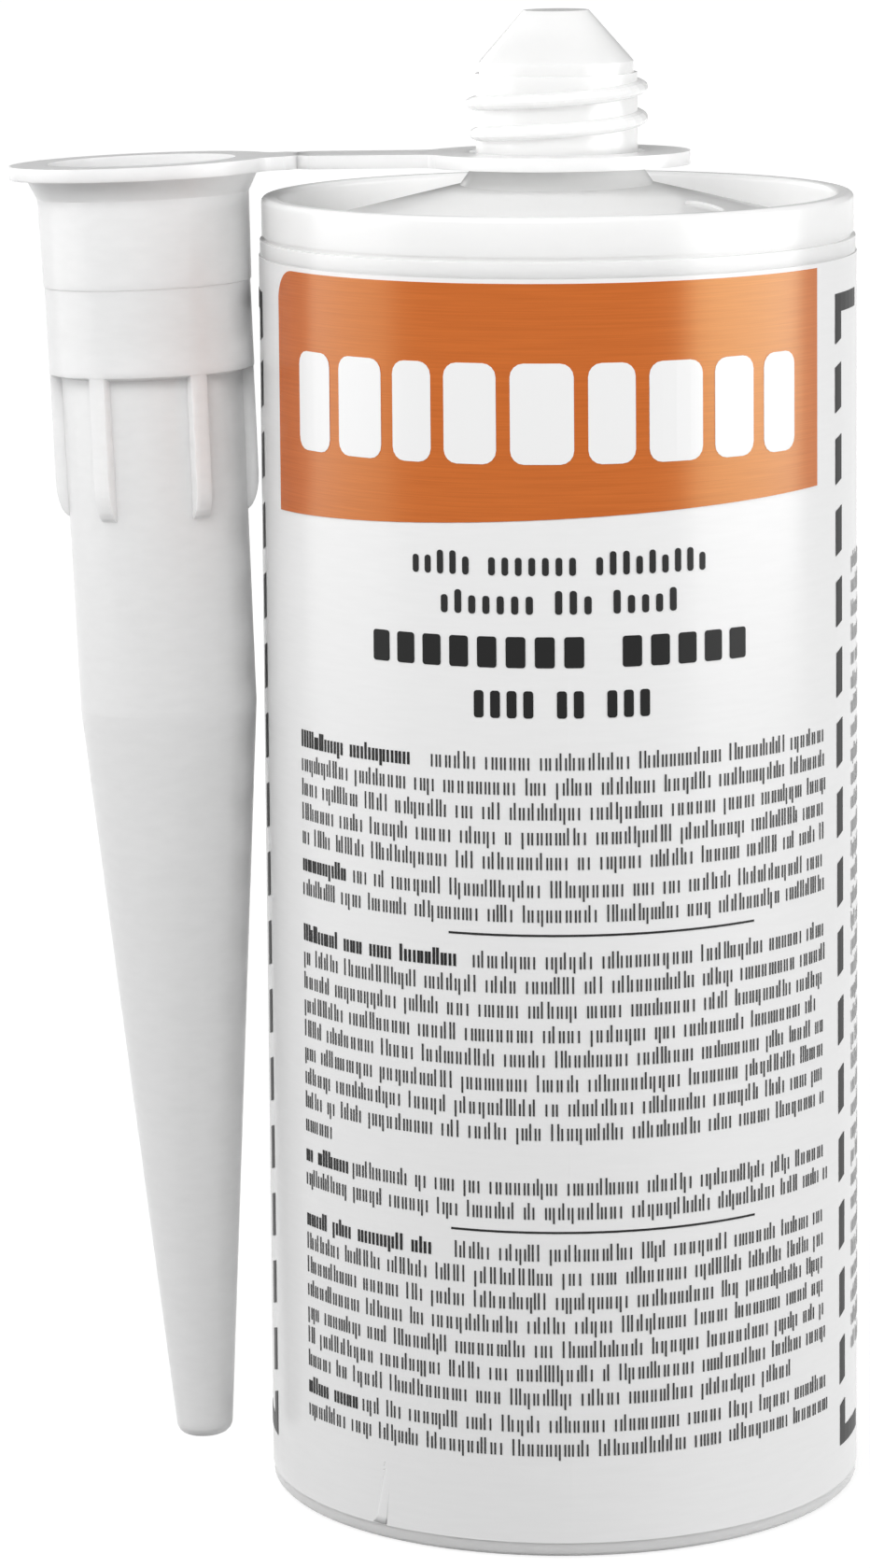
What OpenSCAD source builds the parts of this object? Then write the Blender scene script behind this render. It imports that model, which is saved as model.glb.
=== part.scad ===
// Caulk tube: a half-length sealant cartridge that carries its own nozzle on a captive strap.
// Millimetres. The cartridge's axis is Z, its open rear end stands at z = 0, and the print faces -Y.
// The nozzle hangs tip down on the -X side, from a ring that turns round the neck.

/* [Barrel] */
// Outer diameter of the barrel at its rear end
barrel_d = 50; // [44:0.5:70]
// Height from the rear end to the top of the rim
barrel_h = 109.3; // [100:0.1:240]
// Diameter that the barrel loses between its rear end and its rim
barrel_draft = 0.8; // [0:0.1:1.4]
// Wall of the barrel at its front end
barrel_wall = 1.5; // [1.2:0.1:3]
// Length of the wider lead-in at the rear mouth
mouth_l = 10; // [5:0.5:20]
// Step from the bore out to the lead-in
mouth_step = 0.4; // [0.1:0.1:0.8]

/* [Rim and shoulder] */
// Height of the rim above its groove
rim_h = 3.15; // [2.5:0.05:5]
// Thickness of the rim
rim_wall = 1.5; // [1:0.1:2.5]
// Step in from the barrel to the rim
rim_step = 0.15; // [0:0.05:0.4]
// Radius on the rim's top edges
rim_round = 0.45; // [0.1:0.05:0.5]
// Height of the groove under the rim
groove_h = 0.35; // [0.2:0.05:0.8]
// Depth of the groove under the rim
groove_depth = 0.35; // [0.1:0.05:0.6]
// Depth of the shoulder's outer edge below the rim's top
shoulder_drop = 2.9; // [2:0.1:5]
// Slope of the shoulder
shoulder_angle = 13.7; // [8:0.1:20]
// Wall of the shoulder, measured upright
shoulder_wall = 1.8; // [1.2:0.1:3]
// Diameter of the round ejector mark on the shoulder
mark_d = 3.3; // [1:0.1:4]
// Depth of the ejector mark
mark_depth = 0.25; // [0.05:0.05:0.5]
// Angle of the ejector mark from the front
mark_turn = 58.6; // [-180:0.1:180]
// Place of the ejector mark, as a share of the way from the neck's foot to the rim
mark_share = 0.39; // [0.3:0.01:0.7]

/* [Neck] */
// Diameter of the neck under its thread
neck_d = 13.35; // [11:0.05:18]
// Length of the neck from its foot to the step over the thread
neck_l = 9.1; // [8.5:0.1:16]
// Wall of the neck
neck_wall = 1.6; // [1:0.1:2]
// Spread of the neck's conical foot beyond the neck
foot_spread = 1.33; // [1:0.01:2]
// Height of the neck's conical foot
foot_h = 1.45; // [1:0.05:2]
// Step in over the thread
neck_step = 0.32; // [0.1:0.02:0.6]
// Height of the plain band over that step
band_h = 0.95; // [0.5:0.05:2]
// Height of the closed cone that is cut off to open the cartridge
cone_h = 4.15; // [3:0.05:8]
// Diameter of the flat on that cone
cone_top_d = 5.4; // [4.6:0.1:8]
// Pitch of the neck thread
thread_pitch = 2.5; // [2:0.1:3]
// Height of the thread ridge over the neck
thread_h = 0.88; // [0.7:0.02:1.2]
// Width of the thread ridge at its root
thread_w = 1.3; // [0.9:0.05:1.6]
// Turns of the thread, with its two run-outs
thread_turns = 1.7; // [1.2:0.1:2]
// Height of the thread's first point over the neck's foot
thread_lift = 4.02; // [3.8:0.02:5]

/* [Nozzle] */
// Length of the nozzle from the top of its flange to its tip
nozzle_l = 108.6; // [70:0.2:140]
// Width of the flange round the socket
flange_land = 3.15; // [2.5:0.05:5]
// Thickness of the flange, strap and ring
sheet_t = 1.1; // [0.8:0.05:1.6]
// Clearance of the socket over the neck thread
socket_clearance = 0.2; // [0.1:0.05:0.4]
// Depth of the socket
socket_l = 15; // [13:0.5:16.5]
// Height of the socket's inner thread ridge
inner_thread_h = 0.7; // [0.4:0.05:0.75]
// Width of that ridge at its root
inner_thread_w = 1.1; // [0.8:0.05:1.2]
// Turns of the inner thread, with its two run-outs
inner_thread_turns = 3; // [2:0.1:3.4]
// Depth at which the inner thread ends below the flange's top
inner_thread_at = 2; // [1:0.1:4]
// Wall of the collar at its top
collar_wall = 1; // [0.8:0.05:1.6]
// Radius that the collar loses down to its step
collar_taper = 0.14; // [0:0.02:0.2]
// Step in the collar
collar_step = 0.1; // [0.05:0.05:0.2]
// Depth of that step below the flange's top
collar_step_at = 10; // [5:0.5:14]
// Depth of the collar's lower end
collar_l = 17.2; // [16.8:0.1:22]
// Reach of the cone under the flange beyond the collar
gusset_reach = 0.85; // [0.4:0.05:1.5]
// Height of the cone under the flange
gusset_h = 1.7; // [0.8:0.1:3]
// Height of the ribs over the tube
rib_h = 1; // [0.5:0.05:1.1]
// Width of each rib
rib_w = 1.4; // [0.8:0.1:2]
// Number of ribs
rib_n = 6; // [4:1:8]
// Depth at which the ribs start to run out
rib_l = 26.3; // [24:0.1:34]
// Length of the ribs' curved run-out
rib_runout = 2.9; // [1.5:0.1:5]
// Radius that the tube loses down to the start of the cone
tube_taper = 0.14; // [0:0.02:0.4]
// Depth at which the cone starts
tube_l = 45.4; // [40:0.2:55]
// Wall of the tube
tube_wall = 1; // [0.8:0.05:1.4]
// Outer diameter of the tip
tip_d = 4.8; // [4:0.1:8]
// Diameter of the channel where it ends inside the tip
channel_d = 2.3; // [1.5:0.1:3]
// Thickness of the closed tip
tip_wall = 1.6; // [1.2:0.1:3]
// Height of the tip's rounding
tip_round = 1.1; // [0.5:0.05:1.5]

/* [Strap and ring] */
// Width of the ring round its hole
ring_land = 3.75; // [2.5:0.05:5]
// Play of the ring's hole round the neck
ring_play = 0.58; // [0.4:0.02:0.7]
// Width of the strap
strap_w = 7.2; // [5:0.2:10]
// Width that the two notches leave where the nozzle tears off
notch_w = 5.2; // [4:0.2:8]
// Radius of the blends from the strap into the flange and the ring
strap_blend = 2; // [1:0.1:2.4]
// Distance of the notches from the flange
notch_off = 2; // [1.5:0.1:3]
// Tilt of the hanging nozzle towards the barrel
hang_tilt = 1.8; // [0:0.05:2.5]
// Lean of the whole moulding, front edge up
hang_lean = 1; // [0:0.1:1.2]
// Height of the ring over its seat on the neck's foot
seat_gap = 0.35; // [0.1:0.05:0.5]
// Space between the nozzle's ribs and the label
swing_gap = 0.15; // [0.1:0.05:2]

/* [Plunger and filling] */
// Length of the plunger's skirt
plunger_l = 15; // [12:0.5:20]
// Wall of the plunger
plunger_wall = 1.5; // [1:0.1:2.5]
// Clearance of the plunger's lips in the bore
plunger_clearance = 0.05; // [0.02:0.01:0.1]
// Height of each sealing lip
lip_h = 2; // [1:0.1:3]
// Depth of the waist between the lips
waist = 0.5; // [0.2:0.1:1]
// Depth of the plunger's rear edge inside the rear mouth
plunger_at = 24.5; // [14:0.5:30]
// Number of ribs inside the plunger
web_n = 8; // [4:1:12]
// Thickness of the ribs inside the plunger
web_t = 1.2; // [0.8:0.1:2]
// Height of the ribs below the plunger's front
web_h = 5; // [3:0.5:8]
// Diameter of the flat in the middle of the plunger's nose
nose_d = 10; // [6:0.5:16]
// Space that the filling's solid keeps from the walls round it
fill_gap = 0.05; // [0.02:0.01:0.1]

/* [Label] */
// Thickness of the label
label_t = 0.1; // [0.05:0.05:0.3]
// Thickness of the ink of the colour panel
ink_t = 0.05; // [0.03:0.01:0.1]
// Height of the label's lower edge
label_low = 1.2; // [0.5:0.1:5]
// Distance of the label's upper edge from the groove
label_margin = 1.3; // [0.5:0.1:5]
// Height of the colour panel
panel_h = 18.55; // [12:0.05:40]
// Distance of the panel's upper edge from the label's
panel_margin = 0.35; // [0.1:0.05:3]
// Angle of the panel's left edge from the front
panel_left = -67.5; // [-120:0.5:-40]
// Angle of the panel's right edge from the front
panel_right = 56; // [30:0.5:120]
// Slope of the panel's lower edge
panel_slope = 2.75; // [0:0.05:4]
// Radius of the panel's rounded corner
panel_round = 2.6; // [1:0.1:5]

/* [Hidden] */
$fn = 96;
edge = 0.3;             // small chamfers on moulded edges
bite = 0.3;             // how far a joined shape reaches into the one that carries it
blend_bite = 0.02;      // how far the strap's blends start inside the ring and the flange
rib_inset = 0.08;       // step from the collar in to the ribs

// Radii and heights of the cartridge
barrel_r = barrel_d / 2;
front_r = barrel_r - barrel_draft / 2;
bore_r = front_r - barrel_wall;
mouth_r = bore_r + mouth_step;
rim_r = front_r - rim_step;
rim_in = rim_r - rim_wall;
groove_top = barrel_h - rim_h;
groove_z = groove_top - groove_h;
slope = tan(shoulder_angle);
neck_r = neck_d / 2;
foot_r = neck_r + foot_spread;
foot_blend = foot_spread / 4;
seat_top_r = neck_r + foot_blend;
moat_z = barrel_h - shoulder_drop;
foot_z = shoulder_z(foot_r);
seat_top_z = foot_z + foot_h;
step_z = foot_z + neck_l;
band_r = neck_r - neck_step;
band_z = step_z + band_h;
cone_top_z = band_z + cone_h;
cone_top_r = cone_top_d / 2;
neck_bore_r = neck_r - neck_wall;
crest_r = neck_r + thread_h;
thread_z = foot_z + thread_lift;
thread_start = 160;     // angle of the thread's first point
thread_fade = 50;       // angle over which each end of the thread runs out
thread_steps = 36;      // straight steps in one turn of a thread ridge
ridge_steps = 8;        // straight steps round one section of the thread ridge
ridge_end = 0.15;       // share of its height that the ridge keeps at both ends
ridge_end_w = 0.4;      // share of its width that it keeps there
mark_r = foot_r + mark_share * (rim_in - foot_r);

// Ring, strap and hanging nozzle
hole_r = neck_r + ring_play;
ring_r = hole_r + ring_land;
ring_z = foot_z + foot_h * (foot_r - hole_r) / (foot_r - seat_top_r) + hole_r * sin(hang_lean) + seat_gap;
ring_top = ring_z + sheet_t;
socket_r = crest_r + socket_clearance;
flange_r = socket_r + flange_land;
collar_r = socket_r + collar_wall;
collar_mid_r = collar_r - collar_taper;
collar_low_r = collar_mid_r - collar_step;
tube_r = collar_low_r - rib_h;
tube_end_r = tube_r - tube_taper;
tip_r = tip_d / 2;
channel_r = channel_d / 2;
fold_off = flange_r + notch_off;
reach = label_r(ring_top - rib_l) + swing_gap + collar_low_r * cos(hang_tilt)
    + rib_l * sin(hang_tilt) + fold_off * (1 - cos(hang_tilt));
fold_x = reach - fold_off;

// Plunger
lip_r = bore_r - plunger_clearance;
waist_r = lip_r - waist;
nose_r = nose_d / 2;
nose_z = plunger_l + (lip_r - edge - nose_r) * slope;

// Label
label_top = groove_z - label_margin;
panel_top = label_top - panel_margin;
panel_low = panel_top - panel_h;

// Outer radius of the drafted barrel, and of the label on it, at height z
function barrel_at(z) = barrel_r - (barrel_r - front_r) * z / groove_z;
function label_r(z) = barrel_at(z) + label_t;

// Height of the shoulder's top at radius r
function shoulder_z(r) = moat_z + (rim_in - r) * slope;

// Points of an arc about (x, y), from angle a to angle b
function arc(x, y, r, a, b, n = 6) = [for (i = [0 : n]) let (t = a + (b - a) * i / n) [x + r * cos(t), y + r * sin(t)]];

// One section of a thread ridge: half an ellipse that stands on its root and reaches out or in to its crest
function ridge_section(angle, z, grow, root, crest, width) = let (
    half = sign(crest - root) * width / 2 * (ridge_end_w + (1 - ridge_end_w) * grow)
) [for (i = [0 : ridge_steps]) let (a = 180 / ridge_steps * i, r = root + (crest - root) * grow * sin(a))
    [r * cos(angle), r * sin(angle), z - half * cos(a)]];

// Growth of the ridge at a share t of its length: low enough at both ends to start inside the wall
function ridge_grow(t, turns) = ridge_end
    + (1 - ridge_end) * sin(90 * min(1, min(t, 1 - t) * 360 * turns / thread_fade));

// Right-hand thread ridge that climbs from height z and starts at the given angle
module thread(root, crest, width, z, turns, start_angle) {
    steps = ceil(turns * thread_steps);
    n = ridge_steps + 1;
    sections = [for (k = [0 : steps]) let (t = k / steps)
        ridge_section(start_angle + 360 * turns * t, z + thread_pitch * turns * t, ridge_grow(t, turns),
            root, crest, width)];
    points = [for (s = sections) each s];
    walls = [for (k = [0 : steps - 1], i = [0 : n - 1]) let (j = (i + 1) % n)
        each [[k * n + i, k * n + j, (k + 1) * n + i], [k * n + j, (k + 1) * n + j, (k + 1) * n + i]]];
    start = [[for (i = [n - 1 : -1 : 0]) i]];
    end = [[for (i = [0 : n - 1]) steps * n + i]];
    polyhedron(points, concat(walls, start, end));
}

// Shallow round mark, square to the shoulder's slope
module ejector_mark() {
    rotate([0, 0, mark_turn - 90]) translate([mark_r, 0, shoulder_z(mark_r)]) rotate([0, shoulder_angle, 0])
        translate([0, 0, -mark_depth]) cylinder(d = mark_d, h = 2 * mark_depth);
}

// Section of the hollow moulding from its rear mouth up to the closed cone, turned round the axis
module cartridge_wall() {
    inner_z = shoulder_z(bore_r) - shoulder_wall;
    neck_in_z = shoulder_z(neck_bore_r) - shoulder_wall;
    rotate_extrude() polygon(concat(
        [[mouth_r, 0], [barrel_r - edge, 0], [barrel_at(edge), edge]],
        [[barrel_at(groove_z), groove_z], [front_r - groove_depth, groove_z]],
        [[front_r - groove_depth, groove_top], [rim_r, groove_top]],
        arc(rim_r - rim_round, barrel_h - rim_round, rim_round, 0, 90),
        arc(rim_in + rim_round, barrel_h - rim_round, rim_round, 90, 180),
        [[rim_in, moat_z + edge], [rim_in - edge, shoulder_z(rim_in - edge)]],
        [[foot_r, foot_z], [seat_top_r, seat_top_z], [neck_r, seat_top_z + foot_blend]],
        [[neck_r, step_z], [band_r, step_z], [band_r, band_z]],
        [[cone_top_r, cone_top_z], [0, cone_top_z]],
        [[0, cone_top_z - neck_wall], [cone_top_r - neck_wall, cone_top_z - neck_wall]],
        [[band_r - neck_wall, band_z], [neck_bore_r, step_z], [neck_bore_r, neck_in_z]],
        [[bore_r, inner_z], [bore_r, mouth_l + mouth_step], [mouth_r, mouth_l]]
    ));
}

module cartridge() {
    color("white") difference() {
        union() {
            cartridge_wall();
            thread(neck_r - bite, crest_r, thread_w, thread_z, thread_turns, thread_start);
        }
        ejector_mark();
    }
}

// A skin on the drafted barrel: from angle a to angle b and height low to high, between two heights over the barrel
module wrap(a, b, low, high, from, to) {
    rotate([0, 0, a - 90]) rotate_extrude(angle = b - a) polygon([
        [barrel_at(low) + from, low], [barrel_at(low) + to, low],
        [barrel_at(high) + to, high], [barrel_at(high) + from, high]
    ]);
}

module label() {
    color("whitesmoke") wrap(0, 360, label_low, label_top, 0, label_t);
}

module label_panel() {
    corner_turn = panel_left + panel_round / (PI * barrel_d) * 360;
    color("chocolate") difference() {
        wrap(panel_left, panel_right, panel_low - panel_round, panel_top, label_t, label_t + ink_t);
        translate([0, 0, panel_low]) rotate([0, -panel_slope, 0])
            translate([-barrel_d, -barrel_d, -barrel_d]) cube([2 * barrel_d, 2 * barrel_d, barrel_d]);
        difference() {
            wrap(panel_left - 1, corner_turn, panel_top - panel_round, panel_top + edge, 0, label_t + 2 * ink_t);
            rotate([0, 0, corner_turn]) translate([0, 0, panel_top - panel_round]) rotate([90, 0, 0])
                cylinder(r = panel_round, h = barrel_d);
        }
    }
}

// Outline of the plunger from its rear edge to its nose, with lips that bear on the bore
module plunger_outline(inset) {
    skirt = waist_r - inset;
    polygon(concat(
        inset == 0 ? [[0, 0], [lip_r, 0], [lip_r, lip_h], [waist_r, lip_h + waist]] : [[0, -bite], [skirt, -bite]],
        inset == 0 ? [[waist_r, plunger_l - lip_h - waist], [lip_r, plunger_l - lip_h]] : [],
        [[skirt + (inset == 0 ? waist : 0), plunger_l - inset - edge]],
        [[skirt + (inset == 0 ? waist : 0) - edge, plunger_l - inset]],
        [[nose_r, nose_z - inset], [0, nose_z - inset]]
    ));
}

module plunger() {
    color("gainsboro") translate([0, 0, plunger_at]) union() {
        difference() {
            rotate_extrude() plunger_outline(0);
            rotate_extrude() plunger_outline(plunger_wall);
        }
        intersection() {
            rotate_extrude() plunger_outline(plunger_wall / 2);
            union() {
                for (i = [0 : web_n - 1]) rotate([0, 0, 360 / web_n * i])
                    translate([nose_r - web_t / 2, -web_t / 2, plunger_l - plunger_wall - web_h]) cube([barrel_r, web_t, barrel_r]);
                translate([0, 0, plunger_l - plunger_wall - web_h]) difference() {
                    cylinder(r = nose_r, h = barrel_r);
                    cylinder(r = nose_r - web_t, h = barrel_r);
                }
            }
        }
    }
}

// The filling takes up what the plunger's nose, the bore, the shoulder and the neck leave
module sealant() {
    fill_r = bore_r - fill_gap;
    low_z = plunger_at + fill_gap;
    high_z = shoulder_z(bore_r) - shoulder_wall - fill_gap;
    neck_fill_r = neck_bore_r - fill_gap;
    color("dimgray") rotate_extrude() polygon([
        [0, low_z + nose_z], [nose_r, low_z + nose_z], [lip_r - edge, low_z + plunger_l],
        [fill_r, low_z + plunger_l], [fill_r, high_z],
        [neck_fill_r, shoulder_z(neck_bore_r) - shoulder_wall - fill_gap],
        [neck_fill_r, step_z - fill_gap], [band_r - neck_wall - fill_gap, band_z - fill_gap],
        [cone_top_r - neck_wall - fill_gap, cone_top_z - neck_wall - fill_gap],
        [0, cone_top_z - neck_wall - fill_gap]
    ]);
}

// Edge of the strap from a disc at the origin out to a notch that ends at x = length
function strap_edge(disc_r, length) = let (
    side = strap_w / 2,
    cut = (strap_w - notch_w) / 2,
    blend_x = sqrt(pow(disc_r - blend_bite + strap_blend, 2) - pow(side + strap_blend, 2)),
    turn = atan2(side + strap_blend, blend_x)
) concat(arc(blend_x, side + strap_blend, strap_blend, 180 + turn, 270, 8), [[length - cut, side], [length, side - cut]]);

function flip_y(points) = [for (i = [len(points) - 1 : -1 : 0]) [points[i][0], -points[i][1]]];

// Everything on the moulding that hangs from the neck is drawn flat with the ring's hole at the origin
module hang() {
    translate([0, 0, ring_z]) rotate([-hang_lean, 0, 0]) rotate([0, 0, 180]) children();
}

// The flat frame tilts down at the notches: the fold's line is the origin of what is drawn in it
module fold() {
    translate([fold_x, 0, sheet_t]) rotate([0, hang_tilt, 0]) children();
}

module strap_ring() {
    upper = strap_edge(ring_r, fold_x);
    color("gainsboro") hang() union() {
        rotate_extrude() translate([hole_r, 0]) square([ring_land, sheet_t]);
        linear_extrude(sheet_t) polygon(concat(upper, flip_y(upper)));
    }
}

// The short end of the strap that stays on the flange; it stops flush with the ring's strap
module strap_stub() {
    edge_points = [for (p = strap_edge(flange_r, fold_off)) [fold_off - p[0], p[1]]];
    upper = concat(edge_points, [[-bite, notch_w / 2]]);
    intersection() {
        fold() translate([0, 0, -sheet_t]) linear_extrude(sheet_t) polygon(concat(upper, flip_y(upper)));
        translate([fold_x, -flange_r, -flange_r]) cube(2 * flange_r);
    }
}

// Ribs that carry the collar's width down the tube and run out in a curve
module nozzle_ribs() {
    foot_r_low = tube_r - bite;
    top_r = collar_low_r - rib_inset;
    run = top_r - foot_r_low;
    for (i = [0 : rib_n - 1]) rotate([0, 0, 360 / rib_n * i]) rotate([90, 0, 0])
        linear_extrude(rib_w, center = true) polygon(concat(
            [[foot_r_low, bite - collar_l], [top_r, bite - collar_l]],
            [for (a = [0 : 15 : 90]) [foot_r_low + run * cos(a), -rib_l - rib_runout * sin(a)]]
        ));
}

// The nozzle itself, hanging down from the top of its flange at the origin
module nozzle_body() {
    tip_z = -nozzle_l;
    thread_foot = -inner_thread_at - thread_pitch * inner_thread_turns;
    union() {
        rotate_extrude() polygon(concat(
            [[socket_r, 0], [flange_r, 0], [flange_r, -sheet_t], [collar_r + gusset_reach, -sheet_t]],
            [[collar_r, -sheet_t - gusset_h], [collar_mid_r, -collar_step_at]],
            [[collar_low_r, -collar_step_at - collar_step], [collar_low_r, -collar_l]],
            [[tube_r, -collar_l - edge], [tube_end_r, -tube_l]],
            [for (a = [0 : 18 : 90]) [tip_r - tip_round * (1 - cos(a)), tip_z + tip_round * (1 - sin(a))]],
            [[0, tip_z], [0, tip_z + tip_wall], [channel_r, tip_z + tip_wall]],
            [[tube_end_r - tube_wall, -tube_l], [tube_r - tube_wall, -socket_l - tube_wall]],
            [[socket_r, -socket_l]]
        ));
        nozzle_ribs();
        thread(socket_r + bite, socket_r - inner_thread_h, inner_thread_w, thread_foot, inner_thread_turns, 0);
    }
}

module nozzle() {
    color("gainsboro") hang() union() {
        fold() translate([fold_off, 0, 0]) nozzle_body();
        strap_stub();
    }
}

cartridge();
label();
label_panel();
plunger();
sealant();
nozzle();
strap_ring();
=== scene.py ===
"""Studio picture of the caulk tube: materials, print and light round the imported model."""

import math
import random

import bpy
from mathutils import Matrix, Vector


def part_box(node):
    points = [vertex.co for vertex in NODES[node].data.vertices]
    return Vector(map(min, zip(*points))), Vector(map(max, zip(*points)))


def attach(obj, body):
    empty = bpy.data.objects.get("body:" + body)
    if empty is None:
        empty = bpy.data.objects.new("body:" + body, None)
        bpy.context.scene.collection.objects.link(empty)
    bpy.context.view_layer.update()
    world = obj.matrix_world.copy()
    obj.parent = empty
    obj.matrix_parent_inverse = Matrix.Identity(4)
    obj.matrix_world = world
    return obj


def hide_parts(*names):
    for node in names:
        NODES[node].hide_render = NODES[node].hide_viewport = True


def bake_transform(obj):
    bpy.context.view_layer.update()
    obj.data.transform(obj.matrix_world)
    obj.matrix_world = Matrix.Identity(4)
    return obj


MM = 0.001

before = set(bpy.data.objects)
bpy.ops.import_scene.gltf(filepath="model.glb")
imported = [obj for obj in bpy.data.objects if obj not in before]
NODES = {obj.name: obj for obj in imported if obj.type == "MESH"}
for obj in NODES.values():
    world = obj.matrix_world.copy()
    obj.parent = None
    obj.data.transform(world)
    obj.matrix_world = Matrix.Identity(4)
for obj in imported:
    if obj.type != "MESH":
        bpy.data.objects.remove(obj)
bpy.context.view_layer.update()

# The label: its lower edge and its outer radius there, in metres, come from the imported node
LABEL_LOW, LABEL_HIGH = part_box("label")
LABEL_BASE_Z = LABEL_LOW[2]
LABEL_BASE_R = LABEL_HIGH[0]

# The barrel under it, in mm: its radius and length, and the radius that it loses over that length
BARREL_R = 25.0
BARREL_L = 105.8
BARREL_TAPER = 0.4

# Camera, worked out from the photograph's ellipses and silhouettes: metres, radians and pixels
CAMERA_POS = Vector((-10.587, -456.685, 146.344)) * MM
CAMERA_PITCH = 0.18747
CAMERA_ROLL = -0.010512
PHOTO_HEIGHT = 1679
FOCAL_PX = 5911
SENSOR = 36.0
CLIP_START = 0.01


def grey(level):
    return (level, level, level)


def turn(length, radius):
    """Angle in degrees that a length takes up round a radius, both in one unit."""
    return math.degrees(length / radius)


def on_label(azimuth, z, lift):
    """Point in metres over the label: azimuth in degrees from the front towards +X, z and lift in mm."""
    angle = math.radians(azimuth)
    radius = LABEL_BASE_R - BARREL_TAPER / BARREL_L * (z * MM - LABEL_BASE_Z) + lift * MM
    return (radius * math.sin(angle), -radius * math.cos(angle), z * MM)


def mesh_object(name, verts, faces, mat, smooth=False):
    """A piece that rides on the cartridge."""
    mesh = bpy.data.meshes.new(name)
    mesh.from_pydata(verts, [], faces)
    mesh.validate()
    mesh.update()
    for polygon in mesh.polygons:
        polygon.use_smooth = smooth
    mesh.materials.append(mat)
    obj = bpy.data.objects.new(name, mesh)
    bpy.context.scene.collection.objects.link(obj)
    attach(obj, "cartridge")


# Materials

# Levels of the noise where a varied colour reaches its darker and its lighter tone, and the noise's detail
VARY_LOW = 0.3
VARY_HIGH = 0.7
VARY_DETAIL = 3.0


def material(name, color, roughness, **sockets):
    mat = bpy.data.materials.new(name)
    mat.use_nodes = True
    shader = mat.node_tree.nodes["Principled BSDF"]
    shader.inputs["Base Color"].default_value = (*color, 1)
    shader.inputs["Roughness"].default_value = roughness
    for key, value in sockets.items():
        shader.inputs[key.replace("_", " ")].default_value = value
    return mat


def plastic(name, color, roughness, depth, scatter):
    """Plastic that light enters: depth is how far it goes in metres, and scatter the share that does."""
    return material(
        name,
        color,
        roughness,
        Subsurface_Weight=scatter,
        Subsurface_Radius=(1, 1, 1),
        Subsurface_Scale=depth,
    )


def ink(name, level):
    """Black or grey ink, duller than the film round it."""
    return material(name, grey(level), roughness=0.4, Specular_IOR_Level=0.2)


def vary_color(mat, stretch, low, high):
    """Let a base colour wander between two tones; stretch is the patches to a metre along each axis."""
    nodes = mat.node_tree.nodes
    links = mat.node_tree.links
    place = nodes.new("ShaderNodeTexCoord")
    mapping = nodes.new("ShaderNodeMapping")
    mapping.inputs["Scale"].default_value = stretch
    noise = nodes.new("ShaderNodeTexNoise")
    noise.inputs["Scale"].default_value = 1.0
    noise.inputs["Detail"].default_value = VARY_DETAIL
    ramp = nodes.new("ShaderNodeValToRGB")
    for element, position, tone in zip(ramp.color_ramp.elements, (VARY_LOW, VARY_HIGH), (low, high)):
        element.position = position
        element.color = (*tone, 1)
    links.new(place.outputs["Object"], mapping.inputs["Vector"])
    links.new(mapping.outputs["Vector"], noise.inputs["Vector"])
    links.new(noise.outputs["Fac"], ramp.inputs["Fac"])
    links.new(ramp.outputs["Color"], nodes["Principled BSDF"].inputs["Base Color"])


def dress(node, mat):
    obj = NODES[node]
    obj.data.materials.clear()
    obj.data.materials.append(mat)


WHITE_PLASTIC = plastic("white_plastic", (0.87, 0.87, 0.865), roughness=0.25, depth=0.003, scatter=0.8)
LABEL_FILM = material("label_film", grey(0.84), roughness=0.25)
NATURAL_PLASTIC = plastic("natural_plastic", grey(0.84), roughness=0.28, depth=0.0015, scatter=1.0)
THIN_PLASTIC = plastic("thin_plastic", grey(0.97), roughness=0.28, depth=0.006, scatter=1.0)
PLUNGER_PLASTIC = material("plunger_plastic", (0.78, 0.78, 0.76), roughness=0.42)
PASTE = material("paste", (0.16, 0.16, 0.165), roughness=0.3)
ORANGE_INK = material(
    "orange_ink",
    (0.53, 0.105, 0.011),
    roughness=0.27,
    Specular_IOR_Level=0.85,
    Specular_Tint=(1, 0.88, 0.45, 1),
)
BLACK_INK = ink("black_ink", 0.012)
HEADING_INK = ink("heading_ink", 0.022)
TEXT_INK = ink("text_ink", 0.045)
FAINT_INK = ink("faint_ink", 0.42)
WHITE_INK = material("white_ink", grey(0.86), roughness=0.25)

# Fine streaks round the barrel in the ink and the film, and soft clouds in the plastics and the paste
vary_color(ORANGE_INK, (150, 150, 9000), low=(0.49, 0.092, 0.008), high=(0.57, 0.117, 0.013))
vary_color(LABEL_FILM, (300, 300, 2500), low=grey(0.832), high=grey(0.848))
vary_color(NATURAL_PLASTIC, (500, 500, 1400), low=grey(0.828), high=grey(0.852))
vary_color(THIN_PLASTIC, (500, 500, 500), low=grey(0.96), high=grey(0.98))
vary_color(WHITE_PLASTIC, (250, 250, 900), low=(0.865, 0.865, 0.86), high=(0.875, 0.875, 0.87))
vary_color(PLUNGER_PLASTIC, (400, 400, 400), low=(0.76, 0.76, 0.74), high=(0.80, 0.80, 0.78))
vary_color(PASTE, (120, 120, 120), low=(0.15, 0.15, 0.155), high=(0.17, 0.17, 0.175))

dress("cartridge", WHITE_PLASTIC)
dress("label", LABEL_FILM)
dress("label_panel", ORANGE_INK)
dress("plunger", PLUNGER_PLASTIC)
dress("sealant", PASTE)
dress("nozzle", NATURAL_PLASTIC)
dress("strap_ring", THIN_PLASTIC)

# Print: heights in mm over the rear end, and azimuths in degrees from the front towards +X

PANEL_INK = 0.05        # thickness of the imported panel's ink
PRINT_LIFT = 0.012      # space between the film and the print, so that they don't coincide
PRINT_THICKNESS = 0.02
MAX_STEP = 3.0          # most degrees that one flat facet of print covers
CORNER_STEPS = 4        # facets of a rounded corner
PRINT_SEED = 41

rng = random.Random(PRINT_SEED)


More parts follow.
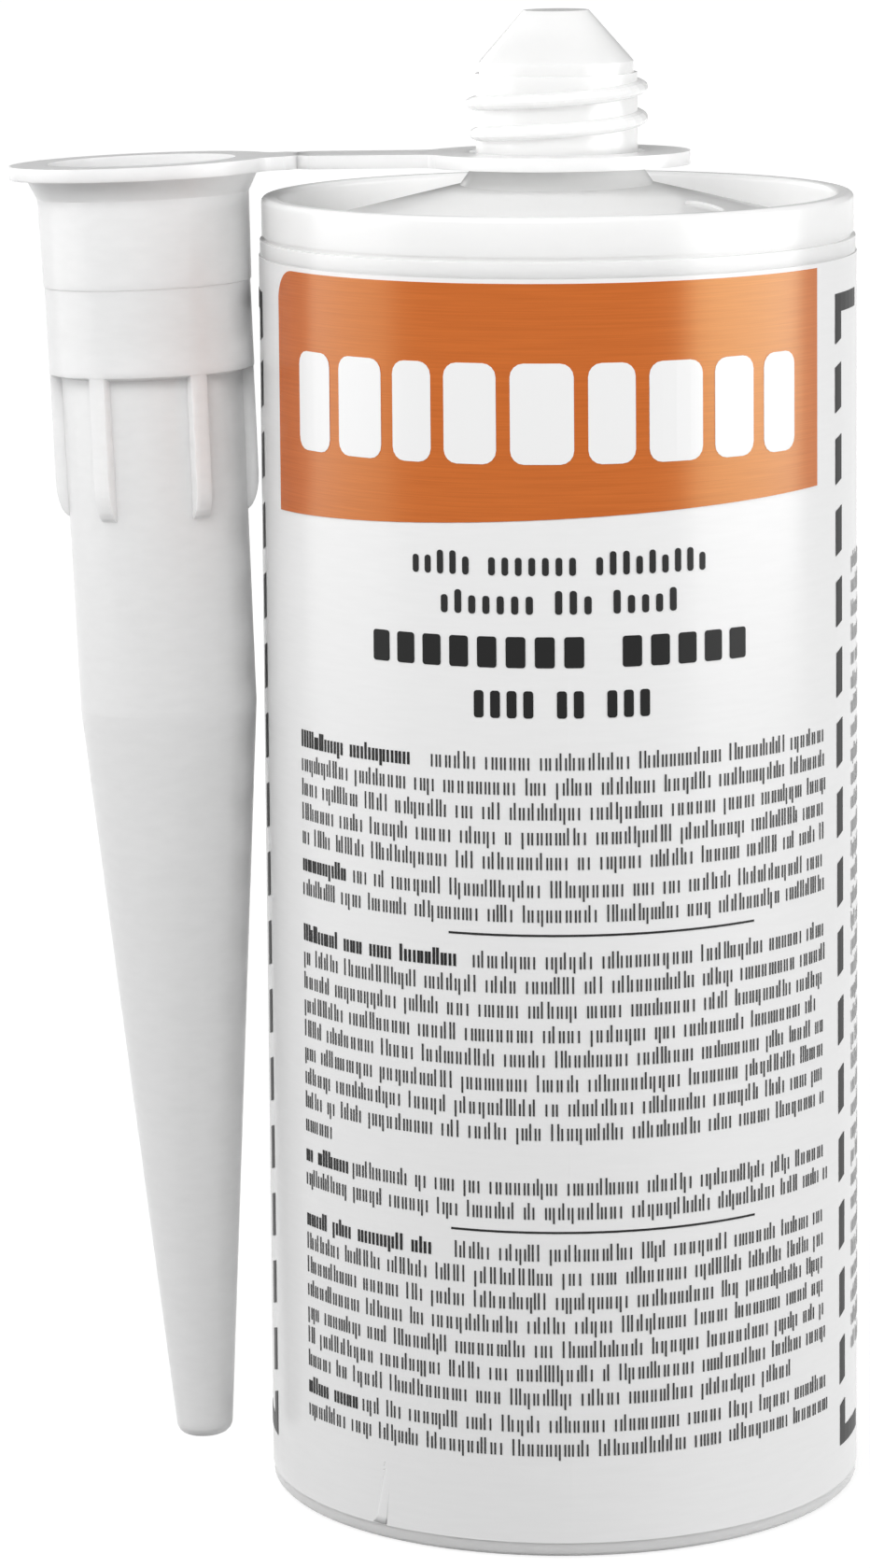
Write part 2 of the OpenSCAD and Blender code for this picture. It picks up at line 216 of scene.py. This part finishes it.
class Print:
    """Thin plates of ink on the label, gathered into one mesh."""

    def __init__(self, lift=PRINT_LIFT):
        self.verts = []
        self.faces = []
        self.low = lift
        self.high = lift + PRINT_THICKNESS

    def plate(self, corners):
        """One plate over a four-sided patch: corners as (azimuth, z), anticlockwise from the lower left."""
        (a0, z0), (a1, z1), (a2, z2), (a3, z3) = corners
        steps = max(1, math.ceil(abs(a1 - a0) / MAX_STEP))
        base = len(self.verts)
        for i in range(steps + 1):
            t = i / steps
            bottom = (a0 + (a1 - a0) * t, z0 + (z1 - z0) * t)
            top = (a3 + (a2 - a3) * t, z3 + (z2 - z3) * t)
            self.verts.append(on_label(*bottom, self.low))
            self.verts.append(on_label(*bottom, self.high))
            self.verts.append(on_label(*top, self.high))
            self.verts.append(on_label(*top, self.low))
        for i in range(steps):
            p = base + 4 * i
            q = p + 4
            for k in range(4):
                n = (k + 1) % 4
                self.faces.append((p + k, q + k, q + n, p + n))
        end = base + 4 * steps
        self.faces.append((base, base + 1, base + 2, base + 3))
        self.faces.append((end + 3, end + 2, end + 1, end))

    def bar(self, a0, a1, z0, z1):
        self.plate([(a0, z0), (a1, z0), (a1, z1), (a0, z1)])

    def rounded_bar(self, a0, a1, z0, z1, radius):
        """A bar with rounded corners, as upright slices."""
        across = turn(radius * MM, LABEL_BASE_R)
        quarter = [math.pi / 2 * i / CORNER_STEPS for i in range(CORNER_STEPS + 1)]
        ends = [(1 - math.cos(angle), 1 - math.sin(angle)) for angle in quarter]
        cuts = [(a0 + across * x, radius * y) for x, y in ends]
        cuts += [(a1 - across * x, radius * y) for x, y in reversed(ends)]
        for (left, down), (right, next_down) in zip(cuts, cuts[1:]):
            lower = [(left, z0 + down), (right, z0 + next_down)]
            upper = [(right, z1 - next_down), (left, z1 - down)]
            self.plate(lower + upper)

    def make(self, name, mat):
        mesh_object(name, self.verts, self.faces, mat)


# Large words are rows of blocks
BLOCK_ROUND = 0.25
HEADING_HEIGHTS = (1.9, 1.45, 1.45)

# Each large line: height of its middle, azimuths of its ends, blocks in each word, their heights, and the
# share of its pitch that a block fills
HEADING_LINES = (
    (82.0, -29.4, 26.6, (5, 7, 9), HEADING_HEIGHTS, 0.5),
    (78.9, -23.7, 20.7, (7, 3, 5), HEADING_HEIGHTS, 0.5),
)
BOLD_LINES = (
    (74.9, -38.3, 35.5, (8, 5), (2.5,), 0.68),
    (70.7, -17.4, 15.4, (4, 2, 3), (2.2,), 0.6),
)

# Small words are rows of upright strokes. A character with its gap is CHAR degrees wide and TEXT_H high, and
# the rows are ROW_PITCH apart. Gaps, widths and weights are shares of CHAR, and the other heights of TEXT_H.
CHAR = 1.8
TEXT_H = 1.4
ROW_PITCH = 2.02
WORD_LENGTHS = (2, 3, 4, 5, 6, 7, 8, 9, 10)
WORD_GAP = 0.9
CHAR_FILL = 0.8
CHAR_SPREAD = (0.85, 1.1)
FINE = 0.2
BOLD = 0.31
SMALL_H = 0.72
TAIL = 0.24

# Shares of the characters with one stroke only, with a tall stroke and with a tail
NARROW_SHARE = 0.16
TALL_SHARE = 0.3
LOW_SHARE = 0.1

# Each paragraph: height of its first row, number of rows, azimuth where its last row ends, and width of its
# bold lead in degrees
PARAGRAPHS = (
    (66.1, 5, 58.8, 32),
    (55.75, 2, 60.4, 14),
    (49.9, 9, -50.0, 40),
    (31.2, 2, 60.4, 13),
    (25.7, 7, 48.0, 36),
    (11.3, 2, 61.0, 15),
)
TEXT_LEFT = -59.6
TEXT_RIGHT = 58.8
LEAD_GAP = 1.6

# Thin rules between the paragraphs
RULE_HEIGHTS = (51.95, 27.4)
RULE_LEFT = -22.7
RULE_RIGHT = 37.4
RULE_HALF = 0.09

# Dashed frame round the text on the back: its left side shows at the right of the front. Its sides, gaps,
# arms and the widths of its upright dashes are in degrees, and its other lengths in mm.
FRAME_TOP = 101.75
FRAME_FOOT = 4.5
FRAME_LEFT = 63.9
FRAME_RIGHT = 280.0
FRAME_LINE = 1.5
FRAME_GAP = 6.0
DASH_PITCH = 5.87
DASH_LENGTH = 3.7
DASH_WIDTH = 3.05
DASH_RISE = 0.4
DASH_COUNT = 15
DASH_TOP = 95.75
LEAN = 2.25 / 84        # degrees that its sides go to the right for each mm down
BRACKET_ARM = 14.0
BRACKET_TOP = 4.1
BRACKET_FOOT = 3.5
FOOT_SHIFT = 2.4        # degrees that the lower brackets lie to the right of the upper ones
FIRST_DASH = 0.35       # share of a pitch before the first dash of the upper and lower edge

# Two columns of small words inside that frame: their azimuths, the height of their first row, and their rows
BACK_COLUMNS = ((74.5, 167.0), (176.0, 268.0))
BACK_TOP = 79.4
BACK_ROWS = 34

# White blocks in the orange panel: widths, gap and left end in degrees, the rest in mm
MARK_WIDTHS = (9.6, 10.4, 8.0, 10.0, 11.7, 8.8, 10.6, 8.7, 8.3)
MARK_GAP = 2.6
MARK_LEFT = -58.6
MARK_MID = 93.9
MARK_H = 8.0
MARK_ROUND = 1.1


def large_line(print_mesh, z, start, end, counts, heights, fill):
    """One line of words made of blocks, a block's place wide between words."""
    pitch = (end - start) / (sum(counts) + len(counts) - 2 + fill)
    low = z - max(heights) / 2
    at = start
    for count in counts:
        for _ in range(count):
            print_mesh.rounded_bar(at, at + pitch * fill, low, low + rng.choice(heights), BLOCK_ROUND)
            at += pitch
        at += pitch


def strokes(print_mesh, at, base, weight):
    """One character as one or two upright strokes, some tall and some with a tail; returns its width."""
    shape = rng.random()
    tall = base + TEXT_H
    small = base + TEXT_H * SMALL_H
    foot = base - TEXT_H * (TAIL if shape > 1 - LOW_SHARE else 0)
    first = tall if shape < TALL_SHARE else small
    stroke = CHAR * weight
    print_mesh.bar(at, at + stroke, foot, first)
    if rng.random() < NARROW_SHARE:
        return CHAR * (weight + 1 - CHAR_FILL)
    second = tall if shape < TALL_SHARE / 2 else small
    width = CHAR * CHAR_FILL * rng.uniform(*CHAR_SPREAD)
    print_mesh.bar(at + width - stroke, at + width, base, second)
    return width + CHAR * (1 - CHAR_FILL)


def row(print_mesh, z, start, end, weight):
    """One row of small words between two azimuths, round the height z."""
    at = start
    while at < end - CHAR:
        for _ in range(rng.choice(WORD_LENGTHS)):
            at += strokes(print_mesh, at, z - TEXT_H / 2, weight)
            if at > end - CHAR / 2:
                break
        at += CHAR * WORD_GAP


def paragraph(bold, text, first, rows, last_end, lead):
    """Rows of small words, the first of them with a bold lead."""
    for i in range(rows):
        z = first - i * ROW_PITCH
        end = last_end if i == rows - 1 else TEXT_RIGHT
        start = TEXT_LEFT
        if i == 0:
            row(bold, z, TEXT_LEFT, TEXT_LEFT + lead, BOLD)
            start += lead + LEAD_GAP
        row(text, z, start, end, FINE)


def frame_side(border, azimuth):
    """Leaning dashes down one side of the frame; azimuth is the left edge of the first."""
    for i in range(DASH_COUNT):
        top = DASH_TOP - i * DASH_PITCH
        left = azimuth + (DASH_TOP - top) * LEAN
        foot = top - DASH_LENGTH
        right = left + DASH_WIDTH
        border.plate([(left, foot), (right, foot + DASH_RISE), (right, top + DASH_RISE), (left, top)])


def frame_edge(border, z, start, end):
    """Level dashes over z, as many as fit between two azimuths."""
    count = int((end - start) / turn(DASH_PITCH, BARREL_R))
    for i in range(count):
        at = start + (i + FIRST_DASH) * (end - start) / count
        border.bar(at, at + turn(DASH_LENGTH, BARREL_R), z, z + FRAME_LINE)


def bracket(border, azimuth, z, side, length):
    """A corner of the frame: side is 1 for a left corner; the upright runs by length up or down from z."""
    far = azimuth + side * BRACKET_ARM
    left, right = sorted((azimuth, azimuth + side * DASH_WIDTH))
    near = z + math.copysign(FRAME_LINE, length)
    tip = z + length
    border.bar(min(azimuth, far), max(azimuth, far), min(z, near), max(z, near))
    if length > 0:
        border.plate([(left, near), (right, near), (right, tip + DASH_RISE), (left, tip)])
    else:
        border.plate([(left, tip), (right, tip + DASH_RISE), (right, near), (left, near)])


def add_front_print():
    headings = Print()
    for line in HEADING_LINES:
        large_line(headings, *line)
    bold = Print()
    for line in BOLD_LINES:
        large_line(bold, *line)
    text = Print()
    for values in PARAGRAPHS:
        paragraph(bold, text, *values)
    headings.make("heading_print", HEADING_INK)
    bold.make("bold_print", BLACK_INK)
    text.make("text_print", TEXT_INK)


def add_back_text():
    back_text = Print()
    for start, end in BACK_COLUMNS:
        for i in range(BACK_ROWS):
            row(back_text, BACK_TOP - i * ROW_PITCH, start, end, FINE)
    back_text.make("back_text_print", FAINT_INK)


def add_rules():
    rules = Print()
    for z in RULE_HEIGHTS:
        rules.bar(RULE_LEFT, RULE_RIGHT, z - RULE_HALF, z + RULE_HALF)
    rules.make("rule_print", HEADING_INK)


def add_border():
    border = Print()
    for azimuth, side in ((FRAME_LEFT, 1), (FRAME_RIGHT, -1)):
        frame_side(border, azimuth - (DASH_WIDTH if side < 0 else 0))
        bracket(border, azimuth, FRAME_TOP, side, -BRACKET_TOP)
        bracket(border, azimuth + FOOT_SHIFT, FRAME_FOOT, side, BRACKET_FOOT)
    for z in (FRAME_TOP - FRAME_LINE, FRAME_FOOT):
        frame_edge(border, z, FRAME_LEFT + BRACKET_ARM + FRAME_GAP, FRAME_RIGHT - BRACKET_ARM - FRAME_GAP)
    border.make("border_print", BLACK_INK)


def add_marks():
    marks = Print(lift=PANEL_INK + PRINT_LIFT)
    at = MARK_LEFT
    for width in MARK_WIDTHS:
        marks.rounded_bar(at, at + width, MARK_MID - MARK_H / 2, MARK_MID + MARK_H / 2, MARK_ROUND)
        at += width + MARK_GAP
    marks.make("panel_marks", WHITE_INK)


add_front_print()
add_back_text()
add_rules()
add_border()
add_marks()

# Small crease in the label over its lower edge: place, width and slant in degrees, the rest in mm
CREASE_AT = -38.5
CREASE_LOW = 1.25
CREASE_L = 5.4
CREASE_W = 2.8
CREASE_NARROWING = 0.5  # share of its width that it loses upwards
CREASE_SLANT = 2.2
CREASE_H = 0.038
CREASE_ROOT = -0.02
CREASE_STEPS = 8

# Its section: place across it, as a share of its width, and height, as a share of its own
CREASE_PROFILE = ((-1, 0), (-0.35, 0.6), (0, 1), (0.25, 0.45), (0.5, 0))


def add_crease():
    """A low slanting ridge that sinks into the film upwards, with its root under the film."""
    verts = []
    faces = []
    for k in range(CREASE_STEPS + 1):
        t = k / CREASE_STEPS
        z = CREASE_LOW + CREASE_L * t
        middle = CREASE_AT + CREASE_SLANT * t
        width = CREASE_W * (1 - CREASE_NARROWING * t)
        for across, share in CREASE_PROFILE:
            lift = CREASE_ROOT + (CREASE_H - CREASE_ROOT) * share * (1 - t)
            verts.append(on_label(middle + width * across, z, lift))
        verts.append(on_label(middle, z, 2 * CREASE_ROOT))
    ring = len(CREASE_PROFILE) + 1
    for k in range(CREASE_STEPS):
        for i in range(ring):
            j = (i + 1) % ring
            faces.append((ring * k + i, ring * k + j, ring * (k + 1) + j, ring * (k + 1) + i))
    faces.append(tuple(reversed(range(ring))))
    faces.append(tuple(range(ring * CREASE_STEPS, ring * (CREASE_STEPS + 1))))
    mesh_object("label_crease", verts, faces, LABEL_FILM, smooth=True)


add_crease()


def add_filling():
    filling = bpy.data.objects.new("filling_paste", NODES["sealant"].data.copy())
    filling.matrix_world = NODES["sealant"].matrix_world
    bpy.context.scene.collection.objects.link(filling)
    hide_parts("sealant")
    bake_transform(filling)


add_filling()

# Floor, in metres: half its side, its depth under the object, and how far round it the shadow is kept
FLOOR_HALF = 6.0
FLOOR_DROP = 0.0002
SHADOW_REACH = 0.15

# Light that the floor adds where it is seen, near the object and far from it
FLOOR_NEAR = 0.85
FLOOR_FAR = 0.93
FLOOR_GREY = 0.22

# Level of the surround, the share of it that is left low behind the object, and where that dim part lies:
# it grows with the direction's Y, and fades with its Z
WORLD_LEVEL = 0.5
BEHIND_SHARE = 0.3
BEHIND_GROWS = (0.6, 0.95)
BEHIND_FADES = (0.15, 0.7)

# Each lamp: name, place and target in metres, width and height in metres, and power in watts
LAMPS = (
    ("front_light", (-0.1, -0.24, 0.275), (0, 0, 0.09), (0.3, 0.15), 0.7),
    ("right_light", (0.58, -0.155, 0.10), (0, 0, 0.10), (0.6, 0.2), 2.05),
    ("left_light", (-0.6, 0.02, 0.14), (0, 0, 0.14), (0.6, 0.28), 1.0),
    ("back_light", (-0.35, 0.45, 0.22), (0, 0, 0.06), (0.4, 0.3), 1.05),
)


def math_node(tree, operation, first, second):
    """Output of a Math node on two other outputs."""
    node = tree.nodes.new("ShaderNodeMath")
    node.operation = operation
    tree.links.new(first, node.inputs[0])
    tree.links.new(second, node.inputs[1])
    return node.outputs[0]


def span(tree, source, start, end, low, high):
    """Output that goes from low to high while the source goes from start to end."""
    node = tree.nodes.new("ShaderNodeMapRange")
    node.inputs["From Min"].default_value = start
    node.inputs["From Max"].default_value = end
    node.inputs["To Min"].default_value = low
    node.inputs["To Max"].default_value = high
    tree.links.new(source, node.inputs["Value"])
    return node.outputs["Result"]


def add_camera():
    forward = Vector((0, math.cos(CAMERA_PITCH), -math.sin(CAMERA_PITCH)))
    upward = Vector((0, math.sin(CAMERA_PITCH), math.cos(CAMERA_PITCH)))
    right = Vector((1, 0, 0))
    side = right * math.cos(CAMERA_ROLL) + upward * math.sin(CAMERA_ROLL)
    top = upward * math.cos(CAMERA_ROLL) - right * math.sin(CAMERA_ROLL)
    data = bpy.data.cameras.new("camera")
    data.sensor_fit = "VERTICAL"
    data.sensor_height = SENSOR
    data.lens = FOCAL_PX * SENSOR / PHOTO_HEIGHT
    data.clip_start = CLIP_START
    camera = bpy.data.objects.new("camera", data)
    facing = Matrix((side, top, -forward)).transposed().to_4x4()
    camera.matrix_world = Matrix.Translation(CAMERA_POS) @ facing
    bpy.context.scene.collection.objects.link(camera)
    bpy.context.scene.camera = camera


def floor_material():
    mat = material(
        "floor", grey(FLOOR_GREY), roughness=0.9, Specular_IOR_Level=0.1, Emission_Color=(1, 1, 1, 1)
    )
    tree = mat.node_tree
    path = tree.nodes.new("ShaderNodeLightPath")
    direct = math_node(tree, "MAXIMUM", path.outputs["Is Camera Ray"], path.outputs["Is Glossy Ray"])
    seen = math_node(tree, "MAXIMUM", direct, path.outputs["Is Transmission Ray"])
    place = tree.nodes.new("ShaderNodeTexCoord")
    distance = tree.nodes.new("ShaderNodeVectorMath")
    distance.operation = "LENGTH"
    tree.links.new(place.outputs["Object"], distance.inputs[0])
    glow = span(tree, distance.outputs["Value"], SHADOW_REACH, 3 * SHADOW_REACH, FLOOR_NEAR, FLOOR_FAR)
    strength = tree.nodes["Principled BSDF"].inputs["Emission Strength"]
    tree.links.new(math_node(tree, "MULTIPLY", seen, glow), strength)
    return mat


def add_floor():
    """Pale floor, white where it is seen, and less so near the object, where it keeps the shadow."""
    mesh = bpy.data.meshes.new("floor")
    corners = [(x * FLOOR_HALF, y * FLOOR_HALF, 0) for x, y in ((-1, -1), (1, -1), (1, 1), (-1, 1))]
    mesh.from_pydata(corners, [], [(0, 1, 2, 3)])
    mesh.materials.append(floor_material())
    floor = bpy.data.objects.new("floor", mesh)
    floor.location.z = -FLOOR_DROP
    bpy.context.scene.collection.objects.link(floor)


def add_world():
    """Pale surround, dimmer low behind the object, and white where the camera sees it."""
    world = bpy.data.worlds.new("studio")
    world.use_nodes = True
    tree = world.node_tree
    place = tree.nodes.new("ShaderNodeTexCoord")
    split = tree.nodes.new("ShaderNodeSeparateXYZ")
    tree.links.new(place.outputs["Generated"], split.inputs["Vector"])
    backward = span(tree, split.outputs["Y"], *BEHIND_GROWS, 0.0, 1.0)
    low = span(tree, split.outputs["Z"], *BEHIND_FADES, 1.0, 0.0)
    behind = math_node(tree, "MULTIPLY", backward, low)
    level = span(tree, behind, 0.0, 1.0, WORLD_LEVEL, WORLD_LEVEL * BEHIND_SHARE)
    path = tree.nodes.new("ShaderNodeLightPath")
    back = tree.nodes["Background"]
    back.inputs["Color"].default_value = (1, 1, 1, 1)
    seen = math_node(tree, "MAXIMUM", level, path.outputs["Is Camera Ray"])
    tree.links.new(seen, back.inputs["Strength"])
    bpy.context.scene.world = world


def add_lamp(name, position, target, size, power):
    data = bpy.data.lights.new(name, "AREA")
    data.shape = "RECTANGLE"
    data.size, data.size_y = size
    data.energy = power
    lamp = bpy.data.objects.new(name, data)
    lamp.location = position
    lamp.rotation_euler = (Vector(target) - Vector(position)).to_track_quat("-Z", "Y").to_euler()
    bpy.context.scene.collection.objects.link(lamp)


add_camera()
add_floor()
add_world()
for lamp_values in LAMPS:
    add_lamp(*lamp_values)
bpy.context.scene.view_settings.view_transform = "Standard"
